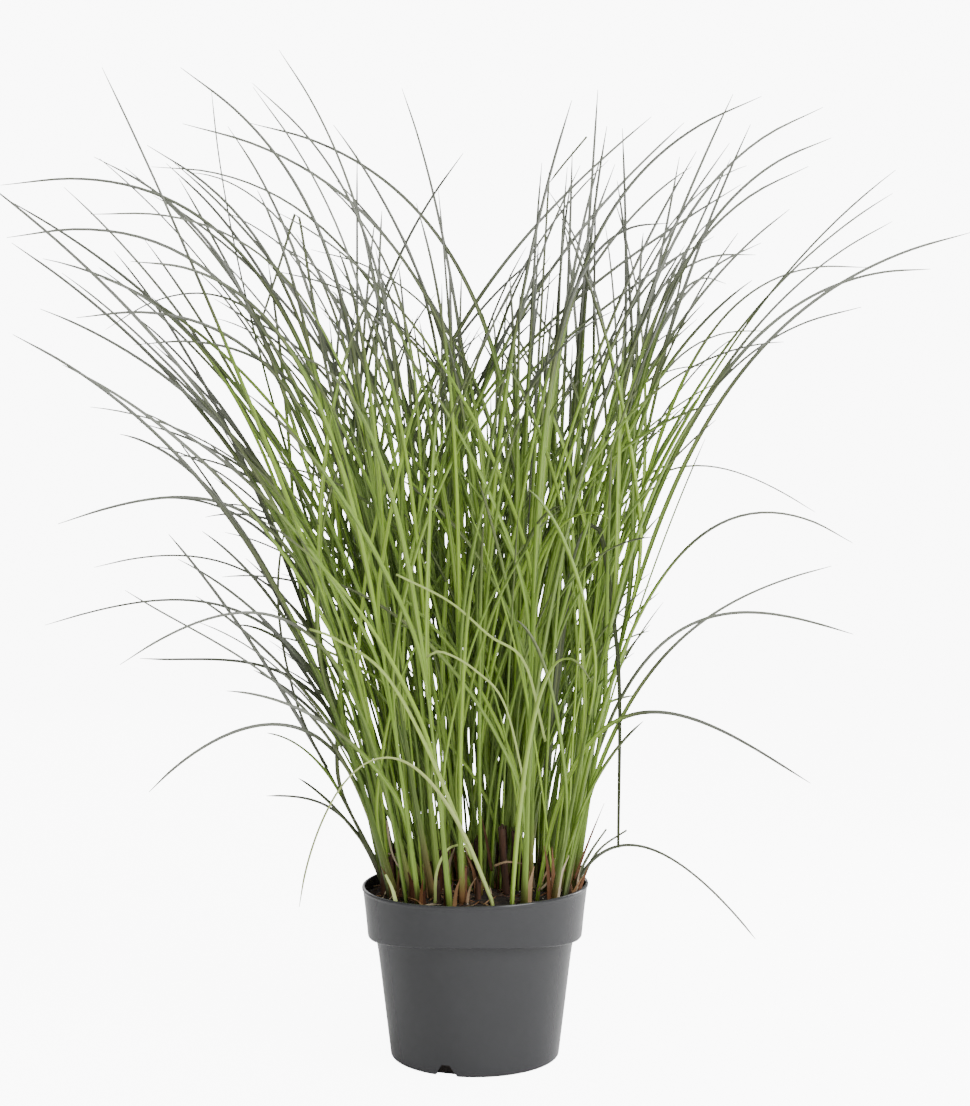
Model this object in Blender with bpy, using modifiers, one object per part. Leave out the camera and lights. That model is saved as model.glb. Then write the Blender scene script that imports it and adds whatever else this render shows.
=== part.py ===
"""Ornamental grass clump in a three-litre nursery pot.

Metres, +Z up. The origin is the middle of the pot's underside and the
front of the pot faces -Y. The pot is turned, the compost is a turned plug
whose top is then made uneven, and each shoot, arching leaf and dead stub is a tapered
strap of its own that starts just above the compost.
"""
import math

import bmesh
import bpy
import numpy as np
from mathutils import Vector
from mathutils.bvhtree import BVHTree

# Pot
POT_HEIGHT = 0.144
RIM_RADIUS = 0.095
COLLAR_HEIGHT = 0.040
COLLAR_FOOT_RADIUS = 0.090
BODY_TOP_RADIUS = 0.0828
BASE_RADIUS = 0.0708
WALL = 0.0014
RIM_BEAD = 0.0045
EDGE = 0.0016
POT_STEPS = 40
NOTCH_TOP = 0.0095
NOTCH_WIDTH_FOOT = 0.0216
NOTCH_WIDTH_TOP = 0.0066
NOTCH_DEPTH = 0.016
NOTCH_COUNT = 3
FIRST_NOTCH_ANGLE = math.radians(251.0)
WELD = 0.00002

# Compost
GAP = 0.0004
SOIL_EDGE = 0.0085
SOIL_DOME = 0.003
SOIL_LUMP = 0.0012
SOIL_RINGS = 5
LUMPS_ACROSS = 190.0
LUMPS_ALONG = 230.0

# Blades
BLADE_RINGS = 12
BLADE_THICKNESS = 0.34
SHOOT_HALF_WIDTH = 0.0031
LEAF_HALF_WIDTH = 0.0026
TIP_HALF_WIDTH = 0.0006
FOOT_SHARE = 0.12
FOOT_TAPER = 1.8
BLADE_SHARE = 0.78
TIP_TAPER = 1.6
LEAST_TURN = math.radians(8.0)
TIP_HANDLE = 0.85
ROOT_CLEARANCE = 0.0006
ROOT_REACH = 0.004
BLADE_CLEARANCE = 0.0012
SAMPLE_STEP = 0.005
SWAY_STEP = 0.006
SWAY_TRIES = 24
BOWS = (0.0, 0.004, -0.004, 0.008, -0.008, 0.012, -0.012)
BOW_RATE = 2.5
STUB_BEND = 0.001

POT_COLOUR = (0.085, 0.088, 0.094)
SOIL_COLOUR = (0.020, 0.014, 0.010)
STEM_COLOUR = (0.150, 0.290, 0.045)
LEAF_COLOUR = (0.100, 0.190, 0.040)
STUB_COLOUR = (0.120, 0.060, 0.028)

# A shoot is a culm that runs on into its longest leaf: root x, y; tip x, y, z
# (cm); lean from upright at the root and at the tip (degrees); stiffness.
SHOOTS = (
    (-6.5, -3.0, -36.5, -8.0, 59.5, 15, 64, 1.3),
    (-5.5, 2.0, -40.5, 7.0, 69.0, 12, 57, 1.3),
    (-4.5, 4.0, -43.5, 16.0, 74.5, 6, 62, 1.3),
    (-4.0, 0.0, -38.5, -4.0, 72.0, 8, 102, 1.6),
    (-5.0, -4.0, -28.5, -12.0, 79.5, 14, 26, 1.0),
    (-4.5, 5.0, -35.5, 22.0, 63.0, 6, 118, 1.6),
    (-4.5, -5.5, -24.0, -24.0, 63.0, 10, 96, 1.4),
    (-3.5, 2.5, -27.5, 10.0, 76.5, 8, 52, 1.1),
    (-3.5, -3.0, -23.5, -6.0, 81.0, 11, 58, 1.6),
    (-5.0, 6.0, -25.0, 20.0, 85.5, 22, 6, 1.0),
    (2.0, 1.0, -19.5, 5.0, 79.0, -8, 78, 1.5),
    (-3.0, -1.0, -17.0, 6.0, 85.5, 6, 38, 1.6),
    (1.5, 5.5, -7.0, 20.0, 85.5, 0, 34, 1.2),
    (-1.0, -5.0, -4.5, -10.0, 69.5, 3, 28, 1.2),
    (-3.4, 4.8, -1.0, 3.0, 76.0, -30, 52, 1.5),
    (0.5, -2.0, 7.5, -12.0, 77.0, -2, 30, 1.2),
    (4.5, 4.0, 11.0, 12.0, 83.5, 12, 6, 1.0),
    (-2.4, 6.0, 16.0, 14.0, 81.5, -26, 52, 1.5),
    (8.0, 2.5, 12.5, 2.5, 78.0, 12, -3, 1.0),
    (4.5, -3.0, 22.5, -9.0, 78.0, 2, 74, 1.5),
    (5.5, 3.0, 24.0, 18.0, 84.5, 5, 32, 1.3),
    (6.5, -1.0, 30.5, 4.0, 77.5, 12, 72, 1.3),
    (4.3, 6.0, 30.5, 25.0, 75.0, 4, 58, 1.3),
    (7.5, 3.5, 38.0, 14.0, 72.0, 9, 64, 1.4),
    (8.2, -1.8, 40.0, -5.0, 68.0, 8, 78, 1.5),
    (6.6, 4.6, 43.0, 20.0, 68.5, 12, 88, 1.5),
    (6.4, -4.8, 28.5, -18.0, 60.5, 12, 84, 1.4),
    (7.2, 0.4, 34.5, 8.0, 67.0, 12, 94, 1.5),
    (4.0, -6.0, 14.0, -22.0, 66.0, 4, 100, 1.5),
    (-1.6, 7.6, -10.0, 32.0, 70.0, 12, 60, 1.2),
    (2.0, 7.3, 13.0, 35.0, 62.0, 14, 84, 1.3),
    (0.0, 3.0, -3.0, -2.0, 72.0, 3, 10, 1.0),
    (3.0, 0.5, 5.5, -3.0, 74.0, 4, 8, 1.0),
    (-2.0, -6.5, -12.0, -30.0, 56.0, 12, 88, 1.3),
)

# A side leaf arches out low from the edge of the clump: same eight values.
SIDE_LEAVES = (
    (-7.0, 1.0, -33.5, -6.0, 44.5, 8, 110, 2.1),
    (-7.8, 0.0, -38.0, 8.0, 35.5, 8, 106, 1.9),
    (-7.2, -2.0, -26.5, -14.0, 39.5, 10, 58, 1.5),
    (-7.5, 3.0, -31.0, 15.0, 32.0, 9, 88, 1.9),
    (-5.6, -5.0, -26.5, -16.0, 34.0, 8, 122, 2.1),
    (-7.5, -1.0, -25.5, -10.0, 23.5, 8, 134, 1.9),
    (-8.0, 1.9, -18.0, 4.0, 21.0, 20, 92, 1.7),
    (-6.8, 4.3, -34.5, 12.0, 40.5, 10, 104, 1.8),
    (-5.8, 5.0, -33.5, 17.0, 46.0, 12, 104, 1.6),
    (-3.6, 1.2, -30.0, 10.0, 53.5, 11, 76, 1.6),
    (1.5, -7.3, -13.0, -17.0, 16.0, 22, 172, 2.6),
    (7.4, -2.9, 30.0, -8.0, 43.0, 8, 124, 1.6),
    (5.4, 6.2, 32.0, 19.0, 45.5, 4, 118, 2.2),
    (7.4, -4.0, 29.5, -2.0, 41.0, 10, 76, 1.6),
    (8.0, 1.5, 34.0, 11.0, 34.5, 8, 106, 2.0),
    (5.2, -3.8, 26.0, -12.0, 24.5, 8, 120, 2.2),
    (8.3, -0.4, 23.0, -4.0, 10.5, 26, 140, 1.4),
    (3.0, -7.6, 8.0, -30.0, 34.0, 14, 112, 1.5),
    (-3.4, 7.4, -14.0, 31.0, 38.0, 14, 112, 1.5),
    (3.6, 7.4, 16.0, 31.0, 34.0, 16, 116, 1.5),
)

# Dead stubs stand upright: root x, y (cm); height and half-width (mm).
STUBS = (
    (2.6, -1.6, 58, 3.0),
    (3.3, -0.6, 54, 2.6),
    (0.2, -3.9, 17, 2.4),
    (-1.2, -3.0, 26, 3.2),
)


def clear_scene():
    for item in list(bpy.data.objects):
        bpy.data.objects.remove(item)


def make_collection(name):
    collection = bpy.data.collections.new(name)
    bpy.context.scene.collection.children.link(collection)
    return collection


def make_material(name, colour, roughness):
    material = bpy.data.materials.new(name)
    material.use_nodes = True
    shader = material.node_tree.nodes["Principled BSDF"]
    shader.inputs["Base Color"].default_value = (*colour, 1.0)
    shader.inputs["Roughness"].default_value = roughness
    return material


def add_object(name, data, collection, material=None):
    item = bpy.data.objects.new(name, data)
    collection.objects.link(item)
    if material:
        data.materials.append(material)
    return item


def pot_profile():
    """Section of the shell: down the outside, across the base, up the inside."""
    collar_foot = POT_HEIGHT - COLLAR_HEIGHT
    outside = [
        (RIM_RADIUS - WALL, POT_HEIGHT),
        (RIM_RADIUS, POT_HEIGHT - EDGE),
        (RIM_RADIUS, POT_HEIGHT - RIM_BEAD),
        (COLLAR_FOOT_RADIUS, collar_foot + EDGE),
        (COLLAR_FOOT_RADIUS - EDGE, collar_foot),
        (BODY_TOP_RADIUS, collar_foot - EDGE),
        (BASE_RADIUS, EDGE),
        (BASE_RADIUS - EDGE, 0.0),
        (0.0, 0.0),
    ]
    inside = [
        (0.0, WALL),
        (BASE_RADIUS - EDGE - WALL, WALL),
        (BODY_TOP_RADIUS - WALL, collar_foot),
        (COLLAR_FOOT_RADIUS - WALL, collar_foot + EDGE + WALL),
        (RIM_RADIUS - 2.0 * WALL, POT_HEIGHT - EDGE),
    ]
    return outside + inside


def turned(name, profile, closed, parts, material):
    """Object of a profile turned about Z; a closed profile is a shell."""
    edges = [(index, index + 1) for index in range(len(profile) - 1)]
    if closed:
        edges.append((len(profile) - 1, 0))
    mesh = bpy.data.meshes.new(name)
    mesh.from_pydata([(radius, 0.0, height) for radius, height in profile], edges, [])
    item = add_object(name, mesh, parts, material)
    screw = item.modifiers.new("turn", "SCREW")
    screw.steps = POT_STEPS
    screw.render_steps = POT_STEPS
    screw.use_merge_vertices = True
    screw.merge_threshold = WELD
    screw.use_smooth_shade = True
    return item


def notch_cutter(index, cutters):
    """Wedge that cuts a drainage notch through the foot of the wall."""
    bm = bmesh.new()
    bmesh.ops.create_cube(bm, size=1.0)
    for vert in bm.verts:
        width = NOTCH_WIDTH_TOP if vert.co.z > 0.0 else NOTCH_WIDTH_FOOT
        vert.co.y *= width
        vert.co.x *= NOTCH_DEPTH
        vert.co.z = NOTCH_TOP if vert.co.z > 0.0 else -EDGE
    mesh = bpy.data.meshes.new("notch_cutter")
    bm.to_mesh(mesh)
    bm.free()
    cutter = add_object(f"notch_cutter_{index + 1}", mesh, cutters)
    angle = FIRST_NOTCH_ANGLE + index * math.tau / NOTCH_COUNT
    cutter.location = (BASE_RADIUS * math.cos(angle), BASE_RADIUS * math.sin(angle), 0.0)
    cutter.rotation_euler.z = angle
    cutter.display_type = "WIRE"
    cutter.hide_render = True
    return cutter


def make_pot(parts, cutters, material):
    pot = turned("pot", pot_profile(), True, parts, material)
    for index in range(NOTCH_COUNT):
        cut = pot.modifiers.new(f"notch_{index + 1}", "BOOLEAN")
        cut.operation = "DIFFERENCE"
        cut.object = notch_cutter(index, cutters)
    return pot


def soil_profile():
    """Plug that fits the pot's inside: across its ringed top, down the side and under."""
    collar_foot = POT_HEIGHT - COLLAR_HEIGHT
    floor = WALL + GAP
    top = POT_HEIGHT - SOIL_EDGE
    side = WALL + 2.0 * GAP
    slope = (RIM_RADIUS - COLLAR_FOOT_RADIUS) / COLLAR_HEIGHT
    top_radius = COLLAR_FOOT_RADIUS - side + slope * (top - collar_foot) - GAP
    shelf = collar_foot + EDGE + WALL + GAP
    cap = [(top_radius * ring / SOIL_RINGS, top) for ring in range(SOIL_RINGS + 1)]
    sides = [
        (COLLAR_FOOT_RADIUS - side - GAP, shelf),
        (BODY_TOP_RADIUS - side, collar_foot),
        (BASE_RADIUS - EDGE - side - GAP, floor),
        (0.0, floor),
    ]
    return cap + sides


def make_soil(parts, material):
    """Turned plug, made a mesh so that its top can be raised into a lumpy dome."""
    plug = turned("soil", soil_profile(), False, parts, material)
    graph = bpy.context.evaluated_depsgraph_get()
    mesh = bpy.data.meshes.new_from_object(plug.evaluated_get(graph))
    bpy.data.objects.remove(plug)
    top = POT_HEIGHT - SOIL_EDGE
    for vert in mesh.vertices:
        if vert.co.z < top - GAP:
            continue
        x, y, _ = vert.co
        reach = min(1.0, math.hypot(x, y) / RIM_RADIUS)
        lump = math.sin(LUMPS_ACROSS * x + 1.0) * math.cos(LUMPS_ALONG * y - 0.5)
        vert.co.z += SOIL_DOME * (1.0 - reach * reach) + SOIL_LUMP * lump
    return add_object("soil", mesh, parts)


def blade_section(name, thickness, guides):
    """Four-sided section of unit half-width, used as a bevel object."""
    outline = [(1.0, 0.0), (0.0, -thickness), (-1.0, 0.0), (0.0, thickness)]
    curve = bpy.data.curves.new(name, "CURVE")
    curve.dimensions = "2D"
    spline = curve.splines.new("POLY")
    spline.points.add(len(outline) - 1)
    for point, (x, y) in zip(spline.points, outline):
        point.co = (x, y, 0.0, 1.0)
    spline.use_cyclic_u = True
    guide = add_object(name, curve, guides)
    guide.display_type = "WIRE"
    guide.hide_render = True
    return guide


def arch(root, tip, lean_root, lean_tip, stiffness, count):
    """Points of a blade that leaves its root and reaches its tip at given leans."""
    across = Vector((tip.x - root.x, tip.y - root.y, 0.0)).normalized()
    up = Vector((0.0, 0.0, 1.0))
    chord = (tip - root).length
    turn = max(abs(lean_tip - lean_root), LEAST_TURN)
    handle = chord * (2.0 / 3.0) * math.tan(turn / 4.0) / math.sin(turn / 2.0)
    heading_root = across * math.sin(lean_root) + up * math.cos(lean_root)
    heading_tip = across * math.sin(lean_tip) + up * math.cos(lean_tip)
    first = root + heading_root * handle * stiffness
    second = tip - heading_tip * handle * TIP_HANDLE
    points = []
    for index in range(count):
        t = index / (count - 1)
        s = 1.0 - t
        points.append(root * s**3 + first * 3 * s * s * t + second * 3 * s * t * t + tip * t**3)
    return points


def blade_half_width(t, widest):
    """Half-width along a blade: full to mid-length, then fine to the tip."""
    if t < FOOT_SHARE:
        return widest * (1.0 - FOOT_TAPER * t)
    beyond = (t - FOOT_SHARE) / (1.0 - FOOT_SHARE)
    return TIP_HALF_WIDTH + (BLADE_SHARE * widest - TIP_HALF_WIDTH) * (1.0 - beyond**TIP_TAPER)


def dense_points(points):
    """Points a sample step apart along a route, for measuring distances."""
    dense = []
    for start, end in zip(points, points[1:]):
        count = max(1, math.ceil((end - start).length / SAMPLE_STEP))
        dense.extend(start.lerp(end, step / count) for step in range(count))
    dense.append(points[-1])
    return np.array([tuple(point) for point in dense])


def dense_widths(points, widest):
    """Half-widths at the points that dense_points gives."""
    widths = []
    last = len(points) - 1
    for index, (start, end) in enumerate(zip(points, points[1:])):
        count = max(1, math.ceil((end - start).length / SAMPLE_STEP))
        for step in range(count):
            widths.append(blade_half_width((index + step / count) / last, widest))
    widths.append(blade_half_width(1.0, widest))
    return np.array(widths)


def is_clear(route, widths, placed):
    for other_route, other_widths in placed:
        gaps = np.linalg.norm(route[:, None, :] - other_route[None, :, :], axis=2)
        need = widths[:, None] + other_widths[None, :] + BLADE_CLEARANCE
        if np.any(gaps < need):
            return False
    return True


def swayed_route(points, sway, bow):
    """Route moved sideways: by sway at mid-length and by bow near its root."""
    span = points[-1] - points[0]
    aside = Vector((-span.y, span.x, 0.0)).normalized()
    last = len(points) - 1
    moved = []
    for index, point in enumerate(points):
        t = index / last
        shift = sway * math.sin(math.pi * t) + bow * math.sin(math.pi * min(1.0, BOW_RATE * t))
        moved.append(point + aside * shift)
    return moved


def settle(name, points, widest, placed):
    """First swayed route, tried in a fixed order, that clears the placed blades."""
    for bow in BOWS:
        for attempt in range(SWAY_TRIES):
            side = 1.0 if attempt % 2 else -1.0
            sway = side * SWAY_STEP * ((attempt + 1) // 2)
            swayed = swayed_route(points, sway, bow)
            route = dense_points(swayed)
            widths = dense_widths(swayed, widest)
            if is_clear(route, widths, placed):
                placed.append((route, widths))
                return swayed
    raise ValueError(f"{name} found no clear way")


def make_blade(name, points, half_widths, section, parts, material):
    curve = bpy.data.curves.new(name, "CURVE")
    curve.dimensions = "3D"
    curve.bevel_mode = "OBJECT"
    curve.bevel_object = section
    curve.use_fill_caps = True
    spline = curve.splines.new("POLY")
    spline.points.add(len(points) - 1)
    for spot, place, half_width in zip(spline.points, points, half_widths):
        spot.co = (*place, 1.0)
        spot.radius = half_width
    return add_object(name, curve, parts, material)


def soil_level(tree, x, y):
    """Highest compost within a blade's width of a root."""
    reach = ROOT_REACH
    offsets = ((0.0, 0.0), (reach, 0.0), (-reach, 0.0), (0.0, reach), (0.0, -reach))
    down = Vector((0.0, 0.0, -1.0))
    hits = (tree.ray_cast(Vector((x + dx, y + dy, 1.0)), down)[0] for dx, dy in offsets)
    return max(hit.z for hit in hits)


def make_rows(prefix, rows, widest, tree, placed, section, parts, material):
    for number, row in enumerate(rows, 1):
        root_x, root_y, tip_x, tip_y, tip_z = (value / 100.0 for value in row[:5])
        lean_root, lean_tip = (math.radians(value) for value in row[5:7])
        level = soil_level(tree, root_x, root_y)
        droop = widest * math.sin(abs(lean_root)) + ROOT_CLEARANCE
        root = Vector((root_x, root_y, level + droop))
        tip = Vector((tip_x, tip_y, tip_z))
        points = arch(root, tip, lean_root, lean_tip, row[7], BLADE_RINGS)
        name = f"{prefix}_{number:02d}"
        points = settle(name, points, widest, placed)
        last = len(points) - 1
        widths = [blade_half_width(index / last, widest) for index in range(last + 1)]
        make_blade(name, points, widths, section, parts, material)


def make_stubs(tree, placed, section, parts, material):
    for number, (x, y, height, half_width) in enumerate(STUBS, 1):
        root = Vector((x / 100.0, y / 100.0, 0.0))
        root.z = soil_level(tree, root.x, root.y) + ROOT_CLEARANCE
        middle = root + Vector((STUB_BEND, 0.0, height / 2000.0))
        top = root + Vector((0.0, 0.0, height / 1000.0))
        points = [root, middle, top]
        widths = [half_width / 1000.0] * len(points)
        route = dense_points(points)
        placed.append((route, np.full(len(route), widths[0])))
        make_blade(f"stub_{number:02d}", points, widths, section, parts, material)


def main():
    clear_scene()
    parts = make_collection("potted_grass")
    guides = make_collection("cutters")
    make_pot(parts, guides, make_material("pot_plastic", POT_COLOUR, 0.45))
    soil = make_soil(parts, make_material("compost", SOIL_COLOUR, 0.95))
    tree = BVHTree.FromPolygons(
        [vert.co.copy() for vert in soil.data.vertices],
        [tuple(face.vertices) for face in soil.data.polygons],
    )
    flat = blade_section("blade_section", BLADE_THICKNESS, guides)
    square = blade_section("stub_section", 1.0, guides)
    placed = []
    make_stubs(tree, placed, square, parts, make_material("dead_cane", STUB_COLOUR, 0.85))
    green = make_material("green_stem", STEM_COLOUR, 0.5)
    make_rows("shoot", SHOOTS, SHOOT_HALF_WIDTH, tree, placed, flat, parts, green)
    leaf = make_material("green_leaf", LEAF_COLOUR, 0.5)
    make_rows("side_leaf", SIDE_LEAVES, LEAF_HALF_WIDTH, tree, placed, flat, parts, leaf)


main()
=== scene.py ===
"""Looks for the potted ornamental grass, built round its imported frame.

Each CAD strap gives its route to a finely shaped piece. A shoot gets its
sheathed culm, its main blade, the side blades that leave the culm and the
companion blades that rise beside it, and a side leaf gets one folded blade.
Thinner shoots, fine blades and some single leaves fill the clump between
them. The pot, the compost and the dead stubs are rebuilt in detail.
"""

import math
import random

import bmesh
import bpy
import numpy as np
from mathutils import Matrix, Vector, noise


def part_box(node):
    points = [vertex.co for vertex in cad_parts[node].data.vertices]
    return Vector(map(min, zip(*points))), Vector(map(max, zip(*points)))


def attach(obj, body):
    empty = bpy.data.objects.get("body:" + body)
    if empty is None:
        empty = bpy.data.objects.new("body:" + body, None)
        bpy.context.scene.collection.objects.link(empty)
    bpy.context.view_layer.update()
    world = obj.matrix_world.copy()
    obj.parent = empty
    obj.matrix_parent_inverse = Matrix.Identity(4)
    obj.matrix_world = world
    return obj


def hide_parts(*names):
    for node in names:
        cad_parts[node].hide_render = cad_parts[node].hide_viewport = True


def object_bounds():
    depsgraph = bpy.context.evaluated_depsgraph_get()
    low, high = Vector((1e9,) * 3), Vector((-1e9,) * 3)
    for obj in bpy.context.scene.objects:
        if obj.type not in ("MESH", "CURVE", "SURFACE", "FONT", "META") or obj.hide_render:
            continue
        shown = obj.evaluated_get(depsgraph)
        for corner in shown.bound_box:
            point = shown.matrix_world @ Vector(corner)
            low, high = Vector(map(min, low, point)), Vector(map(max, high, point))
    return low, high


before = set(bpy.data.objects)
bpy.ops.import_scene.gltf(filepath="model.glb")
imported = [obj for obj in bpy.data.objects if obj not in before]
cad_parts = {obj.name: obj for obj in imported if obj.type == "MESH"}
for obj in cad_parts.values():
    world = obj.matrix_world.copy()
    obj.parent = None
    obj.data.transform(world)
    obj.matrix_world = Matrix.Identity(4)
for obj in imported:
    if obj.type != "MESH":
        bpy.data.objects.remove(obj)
CAD_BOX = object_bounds()

# Pot, in metres: the height and the rim radius come from the frame
POT_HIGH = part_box("pot")[1]
POT_HEIGHT = POT_HIGH[2]
RIM_RADIUS = POT_HIGH[0]
COLLAR_HEIGHT = 0.040
COLLAR_FOOT = POT_HEIGHT - COLLAR_HEIGHT
COLLAR_FOOT_RADIUS = 0.0900
BODY_TOP_RADIUS = 0.0828
BASE_RADIUS = 0.0708
EDGE_ROUND = 0.0022
WALL = 0.0013
SEGMENTS = 240
SHARP_ANGLE = 40.0
WELD_DISTANCE = 0.000005

# Rolled lip: how far in from the rim, how far down from the top
LIP = ((0.0016, 0.0), (0.0008, 0.0001), (0.0002, 0.0006), (0.0, 0.0014), (0.0001, 0.0024),
       (0.0008, 0.0032), (0.0010, 0.0044))

# Undercut below the collar: how far out from the body, how far down from the collar's foot
UNDERCUT = ((0.0022, 0.0002), (0.0006, 0.0010), (0.0, 0.0026))

# Out-of-true of the thin wall: rise of the rim, wave of the collar's foot and its band, swell
RIM_RISE = 0.0016
FOOT_WAVE = 0.0045
FOOT_BAND = 0.012
RIM_SWELL = 0.004

# Drainage notches, wedges that cut the foot of the wall
NOTCHES = 3
NOTCH_TOP_WIDTH = 0.0066
NOTCH_FOOT_WIDTH = 0.0216
NOTCH_DEPTH = 0.016
NOTCH_TOP = 0.0095
NOTCH_BOTTOM = -0.0016
FIRST_NOTCH_ANGLE = 251.0

# Compost
SOIL_TOP = POT_HEIGHT - 0.0085
SOIL_RADIUS = 0.0915
SOIL_CROWN = 0.002
SOIL_RINGS = 70
SOIL_SIDES = 220
SOIL_PLUG = ((0.0878, COLLAR_FOOT + 0.016), (0.0850, COLLAR_FOOT + 0.009),
             (0.0790, COLLAR_FOOT - 0.002), (0.0660, 0.0022))
BITS_RADIUS = 0.090
FIBRES = 170
FIBRE_START_RADIUS = 0.086
FIBRE_END_RADIUS = 0.088

# Culms
CULM_SHARE = 0.38
CULM_SIDES = 12
CULM_FLATNESS = 0.58
CULM_COLLARS = (0.22, 0.42, 0.62, 0.82)
CULM_RADIUS = 0.0030
INNER_CULM_RADIUS = 0.0025
ROUTE_POINTS = 110
ROOT_DEPTH = 0.004

# Blades
RINGS = 34
BLADE_THICKNESS = 0.00040
MAIN_HALF_WIDTH = 0.0025
TIP_HALF_WIDTH = 0.00145
SIDE_LEAF_HALF_WIDTH = 0.0021
LEAVES_PER_SHOOT = 4
COMPANIONS = 4
COMPANION_TRIES = 6

# Tone of the blades: how many look older, by how much, and the length that has the full tone of age
# and painted shade
OLDER_SHARE = 0.38
OLDER_STEP = 0.24
FULL_TONE_LENGTH = 0.22

# Inner shoots and fine blades
EXTRA_SHOOTS = 36
ROOT_RADIUS = 0.078
ROOT_GAP = 0.0075
FINE_BLADES = 135
FINE_RADIUS = 0.080

# How a leaf is brought inside the clump: tries, then what each takes off its length and bend
FIT_TRIES = 5
FIT_SHRINK = 0.88
FIT_STRAIGHTEN = 0.9

# Vertices of a CAD strap nearer than this belong to one ring
RING_SPREAD = 0.0068

# Where new leaves may go: the CAD box with a margin, under a crest that rises to the back
MARGIN = 0.015
LOWEST_CORNER = np.array(CAD_BOX[0]) - MARGIN
HIGHEST_CORNER = np.array(CAD_BOX[1]) + MARGIN
CREST_MIDDLE = -0.012
CREST_SPANS = (0.0, 0.03, 0.07, 0.14, 0.30, 0.43)
CREST_HEIGHTS = (0.61, 0.64, 0.77, 0.82, 0.80, 0.72)
CREST_RISE = 0.26

# Reach to each side at rising heights
HEIGHTS = (0.15, 0.25, 0.35, 0.45, 0.55, 0.65, 0.75)
LEFT_REACH = (0.12, 0.165, 0.22, 0.27, 0.32, 0.385, 0.41)
RIGHT_REACH = (0.10, 0.13, 0.155, 0.165, 0.21, 0.31, 0.39)

# Single leaves that stand out: name, half-width mm, age with painted shade, pale, then (x, y, z) in
# centimetres
LONE_LEAVES = (
    ("hanging_leaf", 2.8, 0.66, 0.0, (
        (6.0, -1.0, 24.0), (7.4, -2.2, 37.0), (8.6, -3.2, 43.0), (9.7, -3.8, 44.6),
        (10.3, -4.0, 44.0), (10.7, -4.0, 42.0), (11.4, -4.0, 37.0), (11.9, -4.0, 30.5),
        (11.8, -4.0, 18.0))),
    ("kinked_leaf", 1.6, 0.70, 0.0, (
        (-8.0, -1.0, 36.0), (-10.3, -2.0, 48.0), (-12.8, -3.0, 60.4), (-14.2, -3.8, 69.0),
        (-14.4, -4.0, 69.8), (-14.7, -4.1, 69.3), (-15.6, -4.6, 66.0), (-17.1, -5.4, 61.0))),
    ("bent_leaf", 1.4, 0.70, 0.0, (
        (4.4, 1.4, 40.0), (4.9, 2.0, 50.0), (6.2, 3.0, 72.6), (6.4, 3.0, 73.4),
        (7.0, 3.0, 74.4), (9.5, 3.0, 77.4))),
    ("front_arc_high", 1.2, 0.15, 0.45, (
        (5.7, -6.0, 27.0), (3.9, -10.0, 33.7), (1.2, -12.0, 35.9), (-1.9, -13.0, 38.6),
        (-5.9, -14.0, 40.7))),
    ("front_arc_low", 1.0, 0.15, 0.60, (
        (4.3, -6.0, 22.2), (2.4, -10.0, 30.3), (0.0, -12.0, 33.3), (-2.5, -12.5, 34.7),
        (-3.6, -12.5, 34.3))),
    ("front_arc_left", 1.8, 0.0, 0.35, (
        (-0.2, -6.0, 17.5), (-3.5, -9.6, 26.4), (-6.9, -11.8, 32.9), (-10.6, -12.0, 35.6),
        (-12.7, -12.0, 36.4))),
    ("small_arc", 1.3, 0.0, 0.80, (
        (-3.2, -5.6, 13.8), (-3.1, -5.5, 16.2), (-2.4, -5.0, 17.8), (-1.5, -4.5, 18.3),
        (-0.3, -4.0, 18.0))),
    ("sprout", 1.7, 0.0, 1.0, ((-6.2, -6.6, 13.4), (-6.6, -6.4, 15.0), (-7.2, -6.0, 16.2))),
    ("low_blade_a", 1.3, 0.75, 0.0, (
        (8.7, -0.2, 13.5), (9.6, 0.5, 15.7), (10.8, 1.0, 17.2), (12.9, 2.0, 18.4))),
    ("low_blade_b", 1.3, 0.70, 0.0, ((8.4, -2.0, 15.0), (9.6, -2.0, 17.3), (10.9, -2.0, 19.2))),
)
LONE_RINGS = 40
LONE_FACING = (0.1, -1.0, 0.5)

# Leaves that come towards the viewer stay green: how pale they are, how much of their painted shade
# and age is taken off
FRONT_LEAVES = {"side_leaf_11": (0.85, 0.45), "side_leaf_18": (0.10, 0.60)}

# Dry strands at the foot: half-width mm, tone from 0 brown to 1 straw, then (x, y, z) in centimetres
DRY_STRANDS = (
    (1.0, 0.95, ((-7.4, 0.0, 19.6), (-7.2, -0.3, 18.0), (-6.7, -0.8, 16.4), (-5.5, -1.2, 14.6))),
    (0.7, 0.85, ((-8.3, 1.0, 16.5), (-7.1, 0.2, 16.7), (-6.2, 0.0, 16.1))),
    (1.1, 0.90, ((5.4, -4.2, 14.6), (6.4, -3.5, 15.5), (7.2, -2.2, 16.1), (7.5, -1.0, 16.9))),
    (0.9, 0.70, ((5.2, -4.2, 14.5), (5.9, -3.0, 15.8), (6.7, -2.0, 16.8))),
    (1.3, 0.80, ((-2.0, -2.0, 21.0), (-1.2, -2.2, 19.5), (-0.6, -3.0, 17.2))),
    (1.5, 0.15, ((1.4, -1.0, 15.5), (0.9, -1.0, 18.3), (0.5, -1.0, 20.3))),
    (1.2, 0.25, ((8.2, -2.4, 15.0), (9.5, -2.4, 18.5), (10.7, -2.4, 21.4))),
    (1.0, 0.75, ((1.6, -4.4, 16.6), (2.6, -4.8, 17.0), (3.9, -4.4, 16.8))),
    (1.4, 0.30, ((8.4, -3.4, 14.0), (8.9, -3.2, 15.2), (9.3, -3.0, 16.3))),
    (1.1, 0.55, ((7.9, -3.8, 14.0), (8.5, -3.6, 15.0), (9.0, -3.4, 15.7))),
)
STRIP_FACING = (0.2, -1.0, 0.3)

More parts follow.
